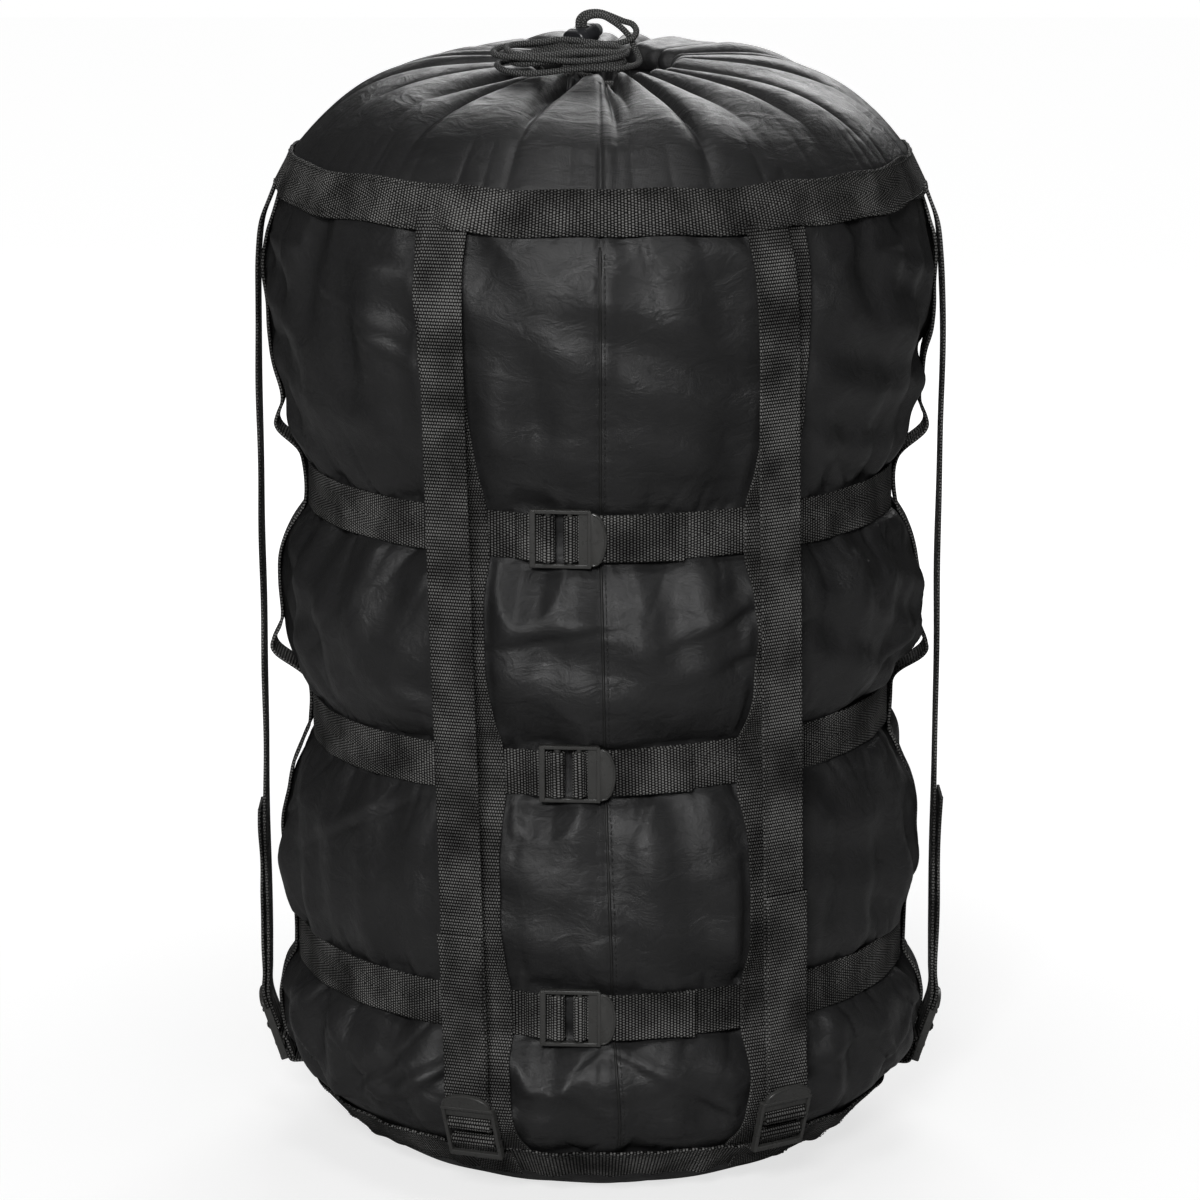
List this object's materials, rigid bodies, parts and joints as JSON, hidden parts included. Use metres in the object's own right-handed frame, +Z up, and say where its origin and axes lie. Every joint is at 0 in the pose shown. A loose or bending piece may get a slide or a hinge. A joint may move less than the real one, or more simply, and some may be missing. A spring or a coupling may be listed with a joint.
{
  "type": "compression sack",
  "caption": "Stuffed cylindrical compression sack with a drawstring mouth, cinched by girth straps and pulled down by vertical webbing straps with ladder locks.",
  "frame": {"origin": "middle of the flat base that the sack stands on", "axes": "+Z up along the sack, -Y towards its front seam and girth ladder locks, +X to the right seen from the front"},
  "size_m": [0.3923, 0.37, 0.6381],
  "materials": {
    "nylon_fabric": "satin woven nylon",
    "webbing": "ribbed woven webbing",
    "buckle_plastic": "satin moulded",
    "cord_lock_plastic": "satin moulded",
    "cord_lock_plunger_plastic": "satin moulded",
    "cord": "braided sheath",
    "spring_steel": "drawn wire",
    "stuffing": "soft filling"
  },
  "bodies": {
    "sack": {"base_panel": "nylon_fabric", "shell": "nylon_fabric", "stuffing": "stuffing", "bottom_ring": "webbing", "runner_front_left": "webbing", "strap_front_left": "webbing", "anchor_front_left": "webbing", "runner_front_right": "webbing", "strap_front_right": "webbing", "anchor_front_right": "webbing", "runner_side_right": "webbing", "strap_side_right": "webbing", "anchor_side_right": "webbing", "runner_back_right": "webbing", "strap_back_right": "webbing", "anchor_back_right": "webbing", "runner_back_left": "webbing", "strap_back_left": "webbing", "anchor_back_left": "webbing", "runner_side_left": "webbing", "strap_side_left": "webbing", "anchor_side_left": "webbing", "girth_strap_lower": "webbing", "girth_strap_middle": "webbing", "girth_strap_upper": "webbing"},
    "top": {"top_ring": "webbing", "collar": "nylon_fabric", "mouth_hem": "nylon_fabric", "drawstring_in_hem": "cord", "drawstring_lead": "cord", "drawstring_return": "cord", "drawstring_hank": "cord"},
    "ladder_lock_front_left": {"ladder_lock_front_left": "buckle_plastic"},
    "strap_tail_front_left": {"strap_tail_front_left": "webbing"},
    "ladder_lock_front_right": {"ladder_lock_front_right": "buckle_plastic"},
    "strap_tail_front_right": {"strap_tail_front_right": "webbing"},
    "ladder_lock_side_right": {"ladder_lock_side_right": "buckle_plastic"},
    "strap_tail_side_right": {"strap_tail_side_right": "webbing"},
    "ladder_lock_back_right": {"ladder_lock_back_right": "buckle_plastic"},
    "strap_tail_back_right": {"strap_tail_back_right": "webbing"},
    "ladder_lock_back_left": {"ladder_lock_back_left": "buckle_plastic"},
    "strap_tail_back_left": {"strap_tail_back_left": "webbing"},
    "ladder_lock_side_left": {"ladder_lock_side_left": "buckle_plastic"},
    "strap_tail_side_left": {"strap_tail_side_left": "webbing"},
    "girth_ladder_lock_lower": {"girth_ladder_lock_lower": "buckle_plastic"},
    "girth_tail_lower": {"girth_tail_lower": "webbing"},
    "girth_ladder_lock_middle": {"girth_ladder_lock_middle": "buckle_plastic"},
    "girth_tail_middle": {"girth_tail_middle": "webbing"},
    "girth_ladder_lock_upper": {"girth_ladder_lock_upper": "buckle_plastic"},
    "girth_tail_upper": {"girth_tail_upper": "webbing"},
    "cord_lock": {"cord_lock_barrel": "cord_lock_plastic", "cord_lock_spring": "spring_steel"},
    "cord_lock_plunger": {"cord_lock_plunger": "cord_lock_plunger_plastic"}
  },
  "joints": [
    {"name": "compress", "type": "slide", "parent": "sack", "child": "top", "axis": [0, 0, -1], "range_m": [0, 0.05], "deforming": ["shell", "stuffing", "runner_front_left", "strap_front_left", "runner_front_right", "strap_front_right", "runner_side_right", "strap_side_right", "runner_back_right", "strap_back_right", "runner_back_left", "strap_back_left", "runner_side_left", "strap_side_left"]},
    {"name": "tilt_front_left", "type": "hinge", "parent": "sack", "child": "ladder_lock_front_left", "pos_m": [-0.06741, -0.17038, 0.04451], "axis": [0.9131, -0.4065, 0.0314], "range_deg": [0, 25], "deforming": ["anchor_front_left"]},
    {"name": "feed_front_left", "type": "slide", "parent": "ladder_lock_front_left", "child": "strap_tail_front_left", "axis": [0, 0, 1], "range_m": [0, 0.05], "deforming": ["strap_tail_front_left"]},
    {"name": "tilt_front_right", "type": "hinge", "parent": "sack", "child": "ladder_lock_front_right", "pos_m": [0.09698, -0.15535, 0.04443], "axis": [0.8615, 0.5074, 0.0192], "range_deg": [0, 25], "deforming": ["anchor_front_right"]},
    {"name": "feed_front_right", "type": "slide", "parent": "ladder_lock_front_right", "child": "strap_tail_front_right", "axis": [0, 0, 1], "range_m": [0, 0.05], "deforming": ["strap_tail_front_right"]},
    {"name": "tilt_side_right", "type": "hinge", "parent": "sack", "child": "ladder_lock_side_right", "pos_m": [0.18307, 0.00257, 0.0444], "axis": [0, 0.9999, 0.0105], "range_deg": [0, 25], "deforming": ["anchor_side_right"]},
    {"name": "feed_side_right", "type": "slide", "parent": "ladder_lock_side_right", "child": "strap_tail_side_right", "axis": [0, 0, 1], "range_m": [0, 0.05], "deforming": ["strap_tail_side_right"]},
    {"name": "tilt_back_right", "type": "hinge", "parent": "sack", "child": "ladder_lock_back_right", "pos_m": [0.09451, 0.15683, 0.04441], "axis": [-0.8659, 0.5, -0.014], "range_deg": [0, 25], "deforming": ["anchor_back_right"]},
    {"name": "feed_back_right", "type": "slide", "parent": "ladder_lock_back_right", "child": "strap_tail_back_right", "axis": [0, 0, 1], "range_m": [0, 0.05], "deforming": ["strap_tail_back_right"]},
    {"name": "tilt_back_left", "type": "hinge", "parent": "sack", "child": "ladder_lock_back_left", "pos_m": [-0.09686, 0.15538, 0.0444], "axis": [-0.8571, -0.515, 0.0122], "range_deg": [0, 25], "deforming": ["anchor_back_left"]},
    {"name": "feed_back_left", "type": "slide", "parent": "ladder_lock_back_left", "child": "strap_tail_back_left", "axis": [0, 0, 1], "range_m": [0, 0.05], "deforming": ["strap_tail_back_left"]},
    {"name": "tilt_side_left", "type": "hinge", "parent": "sack", "child": "ladder_lock_side_left", "pos_m": [-0.18301, 0.00534, 0.04439], "axis": [-0.0175, -0.9998, -0.0087], "range_deg": [0, 25], "deforming": ["anchor_side_left"]},
    {"name": "feed_side_left", "type": "slide", "parent": "ladder_lock_side_left", "child": "strap_tail_side_left", "axis": [0, 0, 1], "range_m": [0, 0.05], "deforming": ["strap_tail_side_left"]},
    {"name": "girth_tilt_lower", "type": "hinge", "parent": "sack", "child": "girth_ladder_lock_lower", "pos_m": [-0.02252, -0.17309, 0.115], "axis": [0, 0, -1], "range_deg": [0, 20], "deforming": ["girth_strap_lower"]},
    {"name": "girth_feed_lower", "type": "slide", "parent": "girth_ladder_lock_lower", "child": "girth_tail_lower", "axis": [0.9978, -0.0663, 0], "range_m": [0, 0.015], "deforming": ["girth_tail_lower"]},
    {"name": "girth_tilt_middle", "type": "hinge", "parent": "sack", "child": "girth_ladder_lock_middle", "pos_m": [-0.02271, -0.16299, 0.248], "axis": [0, 0, -1], "range_deg": [0, 20], "deforming": ["girth_strap_middle"]},
    {"name": "girth_feed_middle", "type": "slide", "parent": "girth_ladder_lock_middle", "child": "girth_tail_middle", "axis": [0.9974, -0.0715, 0], "range_m": [0, 0.015], "deforming": ["girth_tail_middle"]},
    {"name": "girth_tilt_upper", "type": "hinge", "parent": "sack", "child": "girth_ladder_lock_upper", "pos_m": [-0.02735, -0.16329, 0.376], "axis": [0, 0, -1], "range_deg": [0, 20], "deforming": ["girth_strap_upper"]},
    {"name": "girth_feed_upper", "type": "slide", "parent": "girth_ladder_lock_upper", "child": "girth_tail_upper", "axis": [0.9951, -0.0993, 0], "range_m": [0, 0.015], "deforming": ["girth_tail_upper"]},
    {"name": "cord_lock_slide", "type": "slide", "parent": "top", "child": "cord_lock", "axis": [-0.1124, -0.1656, 0.9798], "range_m": [-0.002, 0.003], "deforming": ["drawstring_lead", "drawstring_return"]},
    {"name": "plunger_press", "type": "slide", "parent": "cord_lock", "child": "cord_lock_plunger", "axis": [-0.5504, -0.8106, -0.2001], "range_m": [0, 0.002], "stiffness_N_per_m": 300, "springref_m": -0.002, "deforming": ["cord_lock_spring"]}
  ],
  "couplings": [
    {"joint": "feed_front_left", "follows": "compress", "ratio": 1},
    {"joint": "feed_front_right", "follows": "compress", "ratio": 1},
    {"joint": "feed_side_right", "follows": "compress", "ratio": 1},
    {"joint": "feed_back_right", "follows": "compress", "ratio": 1},
    {"joint": "feed_back_left", "follows": "compress", "ratio": 1},
    {"joint": "feed_side_left", "follows": "compress", "ratio": 1}
  ]
}
